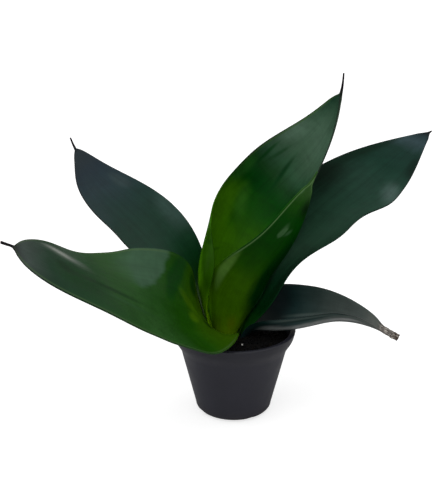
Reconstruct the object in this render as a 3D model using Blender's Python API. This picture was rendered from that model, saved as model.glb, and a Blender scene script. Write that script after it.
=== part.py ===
"""A young broad-leaved snake plant in a small plastic nursery pot.

Six leaves in a rosette grow from a short rhizome that sits in the soil of a tapered, lipped pot.
The frame: metres, +Z up, origin in the middle of the pot's flat underside, the viewer on the -Y side.
Driving sizes are in millimetres and degrees.
"""

from math import cos, pi, radians, sin

import bmesh
import bpy
import numpy as np
from mathutils import Matrix, Vector

MM = 0.001

# The pot.
POT_HEIGHT = 64.0
LINE_RADIUS = 27.0          # radius at the ground of the wall's straight line
TAPER = 0.25                # how much the radius grows for each mm of height
LIP_FLARE = 2.9             # how far the lip stands out from the wall's line
LIP_FOOT = 48.0             # height where the flare starts
LIP_FULL = 59.0             # height where the flare is complete
MOUTH_RADIUS = 42.2         # inner edge of the lip
WALL = 1.2
FLOOR = 1.4
FLAT_RADIUS = 21.0          # the flat that the pot stands on
CORNER_HEIGHT = 6.0         # height of the rounded bottom corner
POT_STEPS = 48

# The drain slots in the bottom corner.
SLOT_COUNT = 4
SLOT_FIRST_ANGLE = -60.0
SLOT_RADIUS = 2.6
SLOT_STRETCH = 1.7          # how much longer than wide a slot is
SLOT_REACH = 4.0            # how deep the cutter reaches on each side of the corner

# The soil and the rhizome.
GAP = 0.4                   # clearance between pieces that rest together
SOIL_TOP = 58.0
SOIL_EDGE_DROP = 0.8        # how much lower the soil is where it meets the pot
CRUMB_HEIGHT = 0.6          # relief of the soil's surface
SOIL_STEPS = 48
CROWN = (-7.0, 6.0)         # where the rosette stands, off the pot's axis
CROWN_TOP = 54.0            # height where the leaves start
SHAFT_RADIUS = 18.4         # plain hole that holds the rhizome and the leaf bases
SHAFT_MOUTH = 22.0          # radius of that hole at the soil's surface
RHIZOME_HEIGHT = 11.0
RHIZOME_RADIUS = 18.0
RHIZOME_BEVEL = 3.0

# The leaves.
LEAF_ROWS = 37
LEAF_COLUMNS = 11
SPINE_STEPS = 240           # steps used to follow a midrib
WING_STEPS = 40             # steps used to follow a wing's cross-section
STATION_POWER = 1.5         # crowds a leaf's stations towards its base
RIB_THICKNESS = 2.4         # at the base
TIP_THICKNESS = 1.2
MARGIN_THICKNESS = 0.9
AWN_FOOT = 0.03             # how far below the blade's end the awn starts, as a share of the length
AWN_HALF_WIDTH = 3.2        # at its foot
AWN_TAPER = 1.5             # above 1 draws the awn in quickly, with hollow shoulders
AWN_POINT = 0.4             # half width that is left at the very end

# A leaf recipe. length and width are sizes along the surface. widest is where the leaf is widest, and
# blade_end is where the blade ends in its awn, both as shares of the length. neck shapes the narrowing
# below the belly, and shoulder the one above it. ring is how far from the middle of the rosette the base
# stands. The lists are degrees, read from base to tip: rise and turn aim the midrib, roll twists the
# blade about it, the cups bend the two halves up from the midrib, and the curls add a bend that grows
# near the margin. A lobe widens or narrows one half: which half, by how much, where, and how far along.
LEAVES = {
    # The tallest leaf: it rises behind the middle, leans right, and shows its inner face to the viewer.
    "leaf_tall_centre": {
        "colour": (0.13, 0.27, 0.04), "ring": 10.2,
        "length": 230.0, "width": 79.0, "widest": 0.24, "blade_end": 0.93, "neck": 1.5, "shoulder": 0.5,
        "rise": (88, 78, 59, 40, 51, 89), "turn": (95, 92, 64, 25, -7, -29),
        "roll": (0, 12, 45, 60, 46, 32),
        "left_cup": (100, 88, 95, 80, 68, 52, 27), "right_cup": (100, 86, 78, 54, 35),
        "left_curl": (0, 14, 50, -10, 0, 0, 0),
        "lobes": (("left", 14.5, 0.19, 0.09), ("left", -1.6, 0.78, 0.18)),
    },
    # The young leaf in the middle: still folded, it shows its outer face to the viewer.
    "leaf_young_front": {
        "colour": (0.16, 0.3, 0.03), "ring": 7.0,
        "length": 148.0, "width": 46.0, "widest": 0.29, "blade_end": 0.93, "neck": 2.0, "shoulder": 0.7,
        "rise": (88, 83, 66, 50, 62, 63), "turn": (-80, -51, -24, -12, -4, 5),
        "roll": (0, -44, -64, -54, -50, -53),
        "left_cup": (110, 64, 40, 21, -2), "right_cup": (110, 52, 20, -3, -2),
    },
    # The leaf that leans back and left.
    "leaf_back_left": {
        "colour": (0.05, 0.11, 0.09), "ring": 16.6,
        "length": 182.0, "width": 71.0, "widest": 0.51, "blade_end": 0.95, "neck": 1.8, "shoulder": 0.6,
        "rise": (88, 70, 59, 44, 41, 73), "turn": (150, 163, 164, 164, 163, 170),
        "roll": (0, 0, -8, -14, -10, -6),
        "left_cup": (58, 36, 22, 14, 0), "right_cup": (58, 39, 36, 16, 1),
        "lobes": (("right", 2.5, 0.70, 0.18), ("left", -2.5, 0.58, 0.08), ("left", -5.4, 0.91, 0.07)),
    },
    # The broad leaf that reaches low to the left, towards the viewer, and turns on its edge.
    "leaf_front_left": {
        "colour": (0.08, 0.2, 0.06), "ring": 13.4,
        "length": 207.0, "width": 89.0, "widest": 0.4, "blade_end": 0.96, "neck": 1.2, "shoulder": 0.6,
        "rise": (88, 43, 28, 32, 31, 27), "turn": (240, 247, 234, 223, 211, 204),
        "roll": (0, -32, -47, -32, -16, -31),
        "left_cup": (66, 55, 32, -5, -6), "right_cup": (66, 38, 44, -7, -6),
        "lobes": (("right", -1.6, 0.55, 0.05), ("right", -3.2, 0.91, 0.13), ("left", -1.0, 0.53, 0.05)),
    },
    # The long leaf that leans back and right.
    "leaf_back_right": {
        "colour": (0.04, 0.13, 0.09), "ring": 13.4,
        "length": 239.0, "width": 80.0, "widest": 0.48, "blade_end": 0.99, "neck": 0.9, "shoulder": 1.0,
        "rise": (88, 57, 49, 33, 25, 21), "turn": (30, 27, 23, 29, 38, 30),
        "roll": (0, 12, 7, 13, 15, 14),
        "left_cup": (58, 50, 38, 14, -2), "right_cup": (58, 32, 42, 14, -2),
        "lobes": (("right", 7.4, 0.38, 0.07), ("right", -6.7, 0.53, 0.08), ("right", 3.2, 0.59, 0.06)),
    },
    # The short leaf that arches low to the right, with a rolled front edge and a dried tip.
    "leaf_low_right": {
        "colour": (0.04, 0.1, 0.08), "ring": 16.6,
        "length": 121.0, "width": 66.0, "widest": 0.25, "blade_end": 0.95, "neck": 1.5, "shoulder": 1.2,
        "rise": (88, 34, 10, 7, -8, -18), "turn": (8, -2, -9, -8, -21, -31),
        "roll": (0, 13, 23, 20, 7, 8),
        "left_cup": (52, 23, 12, 23, 45), "right_cup": (52, 48, 44, 43, 43, 46, 50, 53, -40),
        "right_curl": (0, 69, 90, 52, 17),
        "lobes": (("left", -1.6, 0.89, 0.05), ("left", 1.8, 1.0, 0.05), ("right", 3.6, 1.0, 0.08)),
    },
}


def material(name, colour, roughness):
    """Returns a plain material with the piece's own colour."""
    mat = bpy.data.materials.new(name)
    mat.use_nodes = True
    shader = mat.node_tree.nodes["Principled BSDF"]
    shader.inputs["Base Color"].default_value = (*colour, 1.0)
    shader.inputs["Roughness"].default_value = roughness
    shader.inputs["Metallic"].default_value = 0.0
    return mat


def finish_mesh(name, bm, mat, sharp_angle=40.0):
    """Turns a bmesh in millimetres into a smooth-shaded object in metres."""
    bmesh.ops.scale(bm, vec=(MM, MM, MM), verts=bm.verts)
    mesh = bpy.data.meshes.new(name)
    bm.to_mesh(mesh)
    bm.free()
    mesh.shade_smooth()
    mesh.set_sharp_from_angle(angle=radians(sharp_angle))
    obj = bpy.data.objects.new(name, mesh)
    obj.data.materials.append(mat)
    bpy.context.collection.objects.link(obj)
    return obj


def outer_radius(height):
    """The pot's outer radius: a straight taper that flares out into the lip."""
    rise = min(max((height - LIP_FOOT) / (LIP_FULL - LIP_FOOT), 0.0), 1.0)
    return LINE_RADIUS + TAPER * height + LIP_FLARE * rise * rise * (3 - 2 * rise)


def inner_radius(height):
    """The pot's inner radius: the wall's thickness inside, then the wider lip."""
    wall = outer_radius(height) - WALL
    return min(wall, MOUTH_RADIUS - TAPER * (POT_HEIGHT - height) * (height > LIP_FOOT))


def corner_arc(inset, floor):
    """The rounded bottom corner as (radius, height) points, from the wall down to the flat."""
    top = LINE_RADIUS + TAPER * CORNER_HEIGHT - inset
    flat = FLAT_RADIUS - 0.4 * inset
    drop = CORNER_HEIGHT - floor
    angles = [radians(a) for a in (75, 60, 45, 30, 15, 0)]
    return [(flat + (top - flat) * sin(a), CORNER_HEIGHT - drop * cos(a)) for a in angles]


def turned_object(name, profile, steps, mat):
    """Turns a profile of (radius, height) points round the Z axis with a Screw modifier."""
    bm = bmesh.new()
    points = [bm.verts.new((r * MM, 0.0, z * MM)) for r, z in profile]
    for a, b in zip(points, points[1:]):
        bm.edges.new((a, b))
    mesh = bpy.data.meshes.new(name)
    bm.to_mesh(mesh)
    bm.free()
    obj = bpy.data.objects.new(name, mesh)
    obj.data.materials.append(mat)
    bpy.context.collection.objects.link(obj)
    screw = obj.modifiers.new("turn", "SCREW")
    screw.axis = "Z"
    screw.steps = steps
    screw.render_steps = steps
    screw.use_merge_vertices = True
    screw.merge_threshold = 0.00001
    screw.use_smooth_shade = True
    return obj


def make_pot():
    """The nursery pot: one thin wall with a thicker turned-out lip and slots in its bottom corner."""
    heights_up = [CORNER_HEIGHT, LIP_FOOT, 51.0, 54.0, 57.0, 60.0, POT_HEIGHT - 1.2]
    inside = [(0.0, FLOOR)] + corner_arc(WALL, FLOOR)[::-1]
    inside += [(inner_radius(z), z) for z in heights_up]
    edge = outer_radius(POT_HEIGHT) - 0.5
    lip = [
        (MOUTH_RADIUS + 0.8, POT_HEIGHT - 0.1),
        (MOUTH_RADIUS + 1.9, POT_HEIGHT),
        (edge, POT_HEIGHT - 0.3),
    ]
    outside = [(outer_radius(z), z) for z in heights_up[::-1]]
    outside += corner_arc(0.0, 0.0) + [(0.0, 0.0)]
    plastic = material("pot", (0.018, 0.019, 0.023), 0.45)
    pot = turned_object("pot", inside + lip + outside, POT_STEPS, plastic)
    for number in range(SLOT_COUNT):
        cut_slot(pot, number)
    return pot


def cut_slot(pot, number):
    """Cuts one drain slot through the bottom corner, square to the corner's slope."""
    angle = radians(SLOT_FIRST_ANGLE + number * 360.0 / SLOT_COUNT)
    bm = bmesh.new()
    bmesh.ops.create_cone(bm, cap_ends=True, segments=16, radius1=SLOT_RADIUS, radius2=SLOT_RADIUS,
                          depth=2 * SLOT_REACH)
    bmesh.ops.scale(bm, vec=(1.0, SLOT_STRETCH, 1.0), verts=bm.verts)
    middle = FLAT_RADIUS + 0.7 * (outer_radius(CORNER_HEIGHT) - FLAT_RADIUS)
    place = (Matrix.Rotation(angle, 4, "Z") @ Matrix.Translation((middle, 0.0, 0.3 * CORNER_HEIGHT))
             @ Matrix.Rotation(radians(135), 4, "Y"))
    bmesh.ops.transform(bm, matrix=place, verts=bm.verts)
    cutter = finish_mesh(f"slot_cutter_{number}", bm, pot.data.materials[0])
    cutter.hide_render = True
    cutter.display_type = "WIRE"
    cut = pot.modifiers.new(f"slot {number}", "BOOLEAN")
    cut.operation = "DIFFERENCE"
    cut.solver = "EXACT"
    cut.object = cutter


def crumbs(x, y):
    """Relief of the soil's surface at a place in millimetres."""
    coarse = sin(0.55 * x + 0.9) * cos(0.48 * y - 0.4)
    fine = sin(1.3 * x - 0.7 * y) * cos(0.9 * x + 1.1 * y + 0.5)
    return CRUMB_HEIGHT * (0.6 * coarse + 0.4 * fine)


def add_ring(bm, centre, radius, height, relief=0.0):
    """Adds a closed ring of edges and returns them."""
    place = Matrix.Translation((centre[0], centre[1], height))
    made = bmesh.ops.create_circle(bm, cap_ends=False, segments=SOIL_STEPS, radius=radius, matrix=place)
    ring = made["verts"]
    for vert in ring:
        vert.co.z += relief * crumbs(vert.co.x, vert.co.y)
    return list({edge for vert in ring for edge in vert.link_edges})


def make_soil():
    """The potting mix: fills the pot, has a crumbly top and one plain hole for the rosette."""
    axis = (0.0, 0.0)
    bm = bmesh.new()
    rings = [add_ring(bm, axis, r, z) for r, z in corner_arc(WALL + GAP, FLOOR + GAP)[::-1]]
    rings += [add_ring(bm, axis, inner_radius(z) - GAP, z) for z in (CORNER_HEIGHT, LIP_FOOT, 54.0)]
    edge = inner_radius(SOIL_TOP - SOIL_EDGE_DROP) - GAP
    rings.append(add_ring(bm, axis, edge, SOIL_TOP - SOIL_EDGE_DROP))
    for share in (0.03, 0.2, 0.4, 0.6, 0.8):
        centre = (CROWN[0] * share, CROWN[1] * share)
        rings.append(add_ring(bm, centre, edge + (SHAFT_MOUTH - edge) * share, SOIL_TOP, relief=1.0))
    rings.append(add_ring(bm, CROWN, SHAFT_MOUTH, SOIL_TOP - 0.3))
    rings.append(add_ring(bm, CROWN, SHAFT_RADIUS, CROWN_TOP - 1.0))
    rings.append(add_ring(bm, CROWN, SHAFT_RADIUS, CROWN_TOP - RHIZOME_HEIGHT - 3 * GAP))
    for lower, upper in zip(rings, rings[1:]):
        bmesh.ops.bridge_loops(bm, edges=lower + upper)
    bmesh.ops.holes_fill(bm, edges=rings[0] + rings[-1])
    bmesh.ops.triangulate(bm, faces=[face for face in bm.faces if len(face.verts) > 4])
    bmesh.ops.recalc_face_normals(bm, faces=bm.faces)
    return finish_mesh("soil", bm, material("soil", (0.012, 0.010, 0.009), 0.95))


def make_rhizome():
    """The short thick stem under the leaves, hidden in the soil's hole."""
    bm = bmesh.new()
    bmesh.ops.create_cone(bm, cap_ends=True, segments=32, radius1=RHIZOME_RADIUS, radius2=RHIZOME_RADIUS,
                          depth=RHIZOME_HEIGHT)
    base_rim = [edge for edge in bm.edges if all(vert.co.z < 0 for vert in edge.verts)]
    bmesh.ops.bevel(bm, geom=base_rim, offset=RHIZOME_BEVEL, segments=3, profile=0.5, affect="EDGES")
    middle = CROWN_TOP - 2 * GAP - 0.5 * RHIZOME_HEIGHT
    bmesh.ops.translate(bm, vec=(CROWN[0], CROWN[1], middle), verts=bm.verts)
    return finish_mesh("rhizome", bm, material("rhizome", (0.45, 0.30, 0.14), 0.7))


def along(values, t):
    """Reads a list of values as a smooth curve, t from 0 at the leaf's base to 1 at its tip."""
    v = np.asarray(values, float)
    place = np.clip(t, 0.0, 1.0) ** (1.0 / STATION_POWER) * (len(v) - 1)
    low = np.minimum(place.astype(int), len(v) - 2)
    f = place - low
    ends = np.concatenate([[2 * v[0] - v[1]], v, [2 * v[-1] - v[-2]]])
    a, b, c, d = ends[low], ends[low + 1], ends[low + 2], ends[low + 3]
    return b + 0.5 * f * (c - a + f * (2 * a - 5 * b + 4 * c - d + f * (3 * (b - c) + d - a)))


def half_width(leaf, t):
    """Half the leaf's width: it grows from the clasping base to the belly, then narrows to the awn."""
    base = leaf["ring"] * radians(leaf["left_cup"][0])
    belly = leaf["width"] / 2.0
    rise = np.sin(0.5 * pi * np.clip(t / leaf["widest"], 0.0, 1.0)) ** leaf["neck"]
    past = np.clip((t - leaf["widest"]) / (leaf["blade_end"] - leaf["widest"]), 0.0, 1.0)
    fall = (1 - past ** 2) ** leaf["shoulder"]
    blade = np.where(t < leaf["widest"], base + (belly - base) * rise, belly * fall)
    awn_share = np.clip((1 - t) / (1 - leaf["blade_end"] + AWN_FOOT), 0.0, 1.0)
    awn = AWN_HALF_WIDTH * awn_share ** AWN_TAPER + AWN_POINT
    return np.where(t < leaf["widest"], blade, np.hypot(blade, awn))


def midrib(leaf, t):
    """Follows the midrib from the base: its points, its sideways and its upper-face directions at t."""
    fine = np.linspace(0.0, 1.0, SPINE_STEPS + 1)
    rise = np.radians(along(leaf["rise"], fine))
    turn = np.radians(along(leaf["turn"], fine))
    roll = np.radians(along(leaf["roll"], fine))
    ahead = np.stack([np.cos(rise) * np.cos(turn), np.cos(rise) * np.sin(turn), np.sin(rise)], axis=1)
    level = np.stack([-np.sin(turn), np.cos(turn), 0.0 * turn], axis=1)
    face = np.cross(ahead, level)
    side = level * np.cos(roll)[:, None] + face * np.sin(roll)[:, None]
    face = face * np.cos(roll)[:, None] - level * np.sin(roll)[:, None]
    start = radians(leaf["turn"][0])
    steps = (ahead[1:] + ahead[:-1]) / 2.0 * leaf["length"] / SPINE_STEPS
    points = np.vstack([np.zeros(3), np.cumsum(steps, axis=0)])
    points += (CROWN[0] + leaf["ring"] * cos(start), CROWN[1] + leaf["ring"] * sin(start), CROWN_TOP)
    index = np.rint(t * SPINE_STEPS).astype(int)
    return points[index], side[index], face[index]


def wing(leaf, hand, t):
    """One half of the blade, seen along the midrib: how far out and how far up its points stand."""
    cup = np.radians(along(leaf[hand + "_cup"], t))[:, None]
    curl = np.radians(along(leaf.get(hand + "_curl", (0, 0)), t))[:, None]
    reach = half_width(leaf, t)
    for lobe_hand, size, place, spread in leaf.get("lobes", ()):
        if lobe_hand == hand:
            reach = reach + size * np.exp(-((t - place) / spread) ** 2)
    share = (np.arange(WING_STEPS) + 0.5) / WING_STEPS
    bend = cup * share + curl * share ** 3
    step = (reach / WING_STEPS)[:, None]
    start = np.zeros((len(t), 1))
    out = np.hstack([start, np.cumsum(np.cos(bend) * step, axis=1)])
    up = np.hstack([start, np.cumsum(np.sin(bend) * step, axis=1)])
    return out, up


def leaf_sheet(leaf, rows, columns):
    """The leaf's middle surface as rows of points, from the right margin to the left one."""
    t = np.rint(np.linspace(0.0, 1.0, rows) * SPINE_STEPS) / SPINE_STEPS
    points, side, face = midrib(leaf, t)
    middle = columns // 2
    sheet = np.zeros((rows, columns, 3))
    for hand, sign in (("left", 1), ("right", -1)):
        out, up = wing(leaf, hand, t)
        for number in range(middle + 1):
            step = number * WING_STEPS // middle
            across = sign * side * out[:, step, None]
            sheet[:, middle + sign * number] = points + across + face * up[:, step, None]
    return sheet


def thickness_share(rows, columns):
    """Each point's thickness as a share of the rib's: thick along the midrib, thin at the margins."""
    t = np.linspace(0.0, 1.0, rows)[:, None]
    s = np.abs(np.linspace(-1.0, 1.0, columns))[None, :]
    rib = RIB_THICKNESS + (TIP_THICKNESS - RIB_THICKNESS) * t
    return (MARGIN_THICKNESS + (rib - MARGIN_THICKNESS) * (1 - s ** 1.5)) / RIB_THICKNESS


def make_leaf(name, leaf):
    """One leaf: a grid bent to the leaf's middle surface, then thickened by a Solidify modifier."""
    bm = bmesh.new()
    bmesh.ops.create_grid(bm, x_segments=LEAF_COLUMNS - 1, y_segments=LEAF_ROWS - 1, size=1.0)
    sheet = leaf_sheet(leaf, LEAF_ROWS, LEAF_COLUMNS)
    share = thickness_share(LEAF_ROWS, LEAF_COLUMNS)
    bm.verts.ensure_lookup_table()
    weights = []
    for vert in bm.verts:
        row = round((vert.co.y + 1) / 2 * (LEAF_ROWS - 1))
        column = round((vert.co.x + 1) / 2 * (LEAF_COLUMNS - 1))
        vert.co = Vector(sheet[row, column])
        weights.append(float(share[row, column]))
    bmesh.ops.triangulate(bm, faces=bm.faces)
    obj = finish_mesh(name, bm, material(name, leaf["colour"], 0.4))
    group = obj.vertex_groups.new(name="thickness")
    for index, weight in enumerate(weights):
        group.add([index], weight, "REPLACE")
    solid = obj.modifiers.new("thickness", "SOLIDIFY")
    solid.thickness = RIB_THICKNESS * MM
    solid.offset = 0.0
    solid.vertex_group = "thickness"
    solid.thickness_vertex_group = 0.0
    return obj


def remove_everything():
    for obj in list(bpy.data.objects):
        bpy.data.objects.remove(obj, do_unlink=True)


def main():
    remove_everything()
    make_pot()
    make_soil()
    make_rhizome()
    for name, leaf in LEAVES.items():
        make_leaf(name, leaf)


main()
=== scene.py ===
# %% [markdown]
# # A potted snake plant
# A young broad-leaved snake plant stands in a small nursery pot. The imported model gives every piece its
# place and size. This script dresses it: each leaf gets a fine surface and a waxy skin, the pot gets its
# satin plastic, and the potting mix gets its crumbs and grains.
#
# The imported model is loaded first, because everything below is measured against it.

# %% Load the imported model
import random
from math import cos, pi, radians, sin

import bmesh
import bpy
import numpy as np
from mathutils import Euler, Matrix, Vector, noise


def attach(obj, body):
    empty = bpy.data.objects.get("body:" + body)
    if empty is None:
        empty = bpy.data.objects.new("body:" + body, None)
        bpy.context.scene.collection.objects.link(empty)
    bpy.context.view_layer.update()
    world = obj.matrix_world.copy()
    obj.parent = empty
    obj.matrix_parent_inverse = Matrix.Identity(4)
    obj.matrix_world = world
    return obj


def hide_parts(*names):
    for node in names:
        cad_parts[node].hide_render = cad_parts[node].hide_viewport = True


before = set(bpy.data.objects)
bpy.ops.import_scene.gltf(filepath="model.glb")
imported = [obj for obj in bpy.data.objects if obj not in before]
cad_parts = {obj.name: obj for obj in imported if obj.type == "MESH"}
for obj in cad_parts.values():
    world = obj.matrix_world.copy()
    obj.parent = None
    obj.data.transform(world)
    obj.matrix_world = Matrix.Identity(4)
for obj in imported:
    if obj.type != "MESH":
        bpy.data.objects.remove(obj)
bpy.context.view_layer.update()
print("nodes:", ", ".join(sorted(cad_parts)))

MM = 0.001

# %% [markdown]
# ## The camera
# The photograph looks slightly down on the plant from a good arm's length. A camera that stands where the
# photographer stood shows the same overlaps between the leaves, so its place and lens are settled before
# any looks. It looks along +Y and is only tipped down.

# %% Camera
CAMERA_PLACE = (-12.08, -601.39, 310.65)
CAMERA_DROP = 17.07         # degrees below the horizon
LENS = 63.5                 # for a sensor 36 mm long
SENSOR = 36.0

camera_data = bpy.data.cameras.new("camera")
camera_data.lens = LENS
camera_data.sensor_width = SENSOR
camera_data.clip_start = 0.01
camera_data.clip_end = 200.0
camera = bpy.data.objects.new("camera", camera_data)
camera.location = Vector(CAMERA_PLACE) * MM
camera.rotation_euler = (radians(90.0 - CAMERA_DROP), 0.0, 0.0)
bpy.context.collection.objects.link(camera)
bpy.context.scene.camera = camera
print("camera stands", round(camera.location.length, 3), "m from the pot")

# %% [markdown]
# ## A short way to wire nodes
# Procedural finishes need many nodes. Adding each by hand hides the idea behind the net, so this helper
# adds a node and feeds its inputs in one line. An input takes a number, a colour or the output of another
# node.

# %% Node helper
class Net:
    """Adds nodes to one node tree."""

    def __init__(self, tree):
        self.tree = tree

    def feed(self, socket, value):
        if isinstance(value, bpy.types.NodeSocket):
            self.tree.links.new(value, socket)
        elif socket.type == "RGBA" and len(value) == 3:
            socket.default_value = (*value, 1.0)
        else:
            socket.default_value = value

    def node(self, kind, inputs=None, **settings):
        made = self.tree.nodes.new("ShaderNode" + kind)
        for name, setting in settings.items():
            setattr(made, name, setting)
        for key, value in (inputs or {}).items():
            self.feed(made.inputs[key], value)
        return made

    def math(self, operation, *values):
        return self.node("Math", dict(enumerate(values)), operation=operation).outputs[0]

    def times(self, first, second):
        return self.math("MULTIPLY", first, second)

    def fade(self, value, start, end, low=0.0, high=1.0):
        """low before start, high after end, and a soft step between them."""
        inputs = {"Value": value, "From Min": start, "From Max": end, "To Min": low, "To Max": high}
        return self.node("MapRange", inputs, interpolation_type="SMOOTHSTEP").outputs[0]

    def blend(self, share, first, second, kind="MIX"):
        made = self.node("Mix", {0: share, 6: first, 7: second}, data_type="RGBA", blend_type=kind)
        return made.outputs[2]

    def stretch(self, vector, sizes):
        return self.node("Mapping", {"Vector": vector, "Scale": sizes}).outputs[0]

    def cloud(self, vector, scale, detail=3.0, roughness=0.5, distortion=0.0):
        inputs = {"Vector": vector, "Scale": scale, "Detail": detail, "Roughness": roughness,
                  "Distortion": distortion}
        return self.node("TexNoise", inputs).outputs["Fac"]

    def use(self, group, inputs):
        """Places a node group and returns its outputs."""
        return self.node("Group", inputs, node_tree=group).outputs


def new_group(name, inputs, outputs):
    """Starts a node group. inputs are {name: default}, outputs are names, and all carry single numbers."""
    tree = bpy.data.node_groups.new(name, "ShaderNodeTree")
    for label, default in inputs.items():
        socket = tree.interface.new_socket(label, in_out="INPUT", socket_type="NodeSocketFloat")
        socket.default_value = default
    for label in outputs:
        tree.interface.new_socket(label, in_out="OUTPUT", socket_type="NodeSocketFloat")
    given = tree.nodes.new("NodeGroupInput").outputs
    made = tree.nodes.new("NodeGroupOutput").inputs
    return Net(tree), given, made


def new_finish(name, **sockets):
    """Starts a material. Values that are the same all over are set on the shader's own sockets."""
    finish = bpy.data.materials.new(name)
    finish.use_nodes = True
    shader = finish.node_tree.nodes["Principled BSDF"]
    for label, value in sockets.items():
        shader.inputs[label.replace("_", " ")].default_value = value
    return finish, Net(finish.node_tree), shader.inputs


def put_bump(net, shader, height, strength, depth_mm):
    """Raises the finish by a height that runs from 0 to 1."""
    inputs = {"Height": height, "Strength": strength, "Distance": depth_mm * MM}
    net.feed(shader["Normal"], net.node("Bump", inputs).outputs[0])

# %% [markdown]
# ## The studio
# The plant is shown on white, in soft light. The sky does the lighting: it is bright overhead and dim at
# the sides, and it has three wide soft patches, at the left, behind at the right and above the viewer, as
# three softboxes would give. The wax on the leaves mirrors the patches, and the dim part keeps the sides
# of the leaves dark and full of colour. Light Path lets the camera see plain white instead of this sky,
# and the pale floor gets some light of its own, so that only a faint shadow is left around the pot.
# Standard colour handling keeps white as white.

# %% Sky and floor
SKY_SIDES = 0.2
SKY_OVERHEAD = 0.85
SOFT_PATCHES = {
    # name: (direction, brightness, degrees from its middle to where it starts to fade, and to its end)
    "left": ((-1.0, -0.05, 0.45), 0.8, 10.0, 45.0),
    "right": ((0.9, 0.38, 0.2), 0.6, 8.0, 35.0),
    "front": ((0.0, -0.75, 0.65), 0.6, 15.0, 60.0),
}
FLOOR_SIZE = 40.0
FLOOR_PAINT = (0.6, 0.6, 0.6, 1.0)
FLOOR_GLOW = 0.66

scene = bpy.context.scene
scene.view_settings.view_transform = "Standard"

sky = bpy.data.worlds.new("sky")
sky.use_nodes = True
net = Net(sky.node_tree)
sky_way = net.node("TexCoord").outputs["Generated"]
sky_height = net.node("SeparateXYZ", {0: sky_way}).outputs["Z"]
sky_glow = net.fade(sky_height, 0.0, 1.0, SKY_SIDES, SKY_OVERHEAD)
for way, brightness, inner, outer in SOFT_PATCHES.values():
    towards = net.node("VectorMath", {0: sky_way, 1: Vector(way).normalized()}, operation="DOT_PRODUCT")
    patch = net.fade(towards.outputs["Value"], cos(radians(outer)), cos(radians(inner)), 0.0, brightness)
    sky_glow = net.math("ADD", sky_glow, patch)
soft_sky = net.node("Background", {"Color": (1.0, 1.0, 1.0), "Strength": sky_glow})
white_sky = net.node("Background", {"Color": (1.0, 1.0, 1.0), "Strength": 1.0})
seen = net.node("LightPath").outputs["Is Camera Ray"]
both = net.node("MixShader", {0: seen, 1: soft_sky.outputs[0], 2: white_sky.outputs[0]})
net.feed(sky.node_tree.nodes["World Output"].inputs["Surface"], both.outputs[0])
scene.world = sky

floor_bm = bmesh.new()
bmesh.ops.create_grid(floor_bm, x_segments=1, y_segments=1, size=FLOOR_SIZE)
floor_mesh = bpy.data.meshes.new("floor")
floor_bm.to_mesh(floor_mesh)
floor_bm.free()
floor = bpy.data.objects.new("floor", floor_mesh)
bpy.context.collection.objects.link(floor)
floor_paint, net, floor_shader = new_finish(
    "floor_paint", Base_Color=FLOOR_PAINT, Roughness=0.9, Emission_Color=(1.0, 1.0, 1.0, 1.0))
floor_seen = net.node("LightPath").outputs["Is Camera Ray"]
net.feed(floor_shader["Emission Strength"], net.times(floor_seen, FLOOR_GLOW))
floor.data.materials.append(floor_paint)
print("soft patches:", ", ".join(SOFT_PATCHES))

# %% [markdown]
# ## Making a piece
# Every piece is modelled in millimetres, because the pot and the leaves are easier to read that way. One
# helper brings the finished mesh to metres, shades it, gives it its finish and ties it to the packed
# model: it rides on the body, and it stands for the plain node that it replaces.

# %% Piece helper
def finish_piece(name, bm, finish, node=None, sharp_angle=40.0):
    bmesh.ops.scale(bm, vec=(MM, MM, MM), verts=bm.verts)
    mesh = bpy.data.meshes.new(name)
    bm.to_mesh(mesh)
    bm.free()
    mesh.shade_smooth()
    mesh.set_sharp_from_angle(angle=radians(sharp_angle))
    piece = bpy.data.objects.new(name, mesh)
    piece.data.materials.append(finish)
    bpy.context.collection.objects.link(piece)
    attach(piece, "root")
    if node:
        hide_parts(node)
    print(name, "has", len(mesh.polygons), "faces")
    return piece


def turn_profile(profile, steps):
    """Turns (radius, height) points full circle about the Z axis."""
    bm = bmesh.new()
    points = [bm.verts.new((r, 0.0, z)) for r, z in profile]
    edges = [bm.edges.new(pair) for pair in zip(points, points[1:])]
    bmesh.ops.spin(bm, geom=points + edges, cent=(0, 0, 0), axis=(0, 0, 1), angle=2 * pi, steps=steps,
                   use_merge=True)
    bmesh.ops.remove_doubles(bm, verts=bm.verts, dist=0.001)
    bmesh.ops.recalc_face_normals(bm, faces=bm.faces)
    return bm

# %% [markdown]
# ## The pot
# A nursery pot is moulded in one go from thin charcoal polypropylene. Its wall tapers, turns out into a
# lip and rounds into the base, where four slots let water out. A turned profile gives the whole pot, and
# the lip and the corner are arcs. The slots are cut afterwards with stretched cylinders, and the cut is
# applied, so that the piece keeps no live modifier.

# %% Pot sizes
POT_HEIGHT = 64.0
LINE_RADIUS = 27.0          # radius at the ground of the wall's straight line
TAPER = 0.25                # how much the radius grows for each mm of height
LIP_FLARE = 2.9
LIP_FOOT = 48.0             # height where the flare starts
LIP_FULL = 59.0             # height where the flare is complete
MOUTH_RADIUS = 42.2
WALL = 1.2
FLOOR = 1.4
FLAT_RADIUS = 21.0
CORNER_HEIGHT = 6.0
CORNER_SWEEP = 75.0         # degrees that the corner's arc turns through
INSIDE_FLAT = 0.4           # the flat is smaller inside by this share of the wall
FOOT_RECESS = 0.5           # the middle of the underside is raised by this much
FOOT_RADIUS = 16.0
POT_STEPS = 144
WALL_RINGS = (14.0, 22.0, 30.0, 38.0)
LIP_RINGS = 9               # rings in the flare
LIP_EDGE = 0.8              # height of the rounded edge at the top
LIP_INSET = 0.2             # how far the edge stands in from the wall outside
SLOT_COUNT = 4
SLOT_FIRST_ANGLE = -60.0
SLOT_RADIUS = 2.6
SLOT_STRETCH = 1.7          # how much longer than wide a slot is
SLOT_REACH = 4.0            # how deep the cutter reaches on each side of the corner
SLOT_PLACE = 0.7            # share of the way from the flat's edge to the wall
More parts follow.
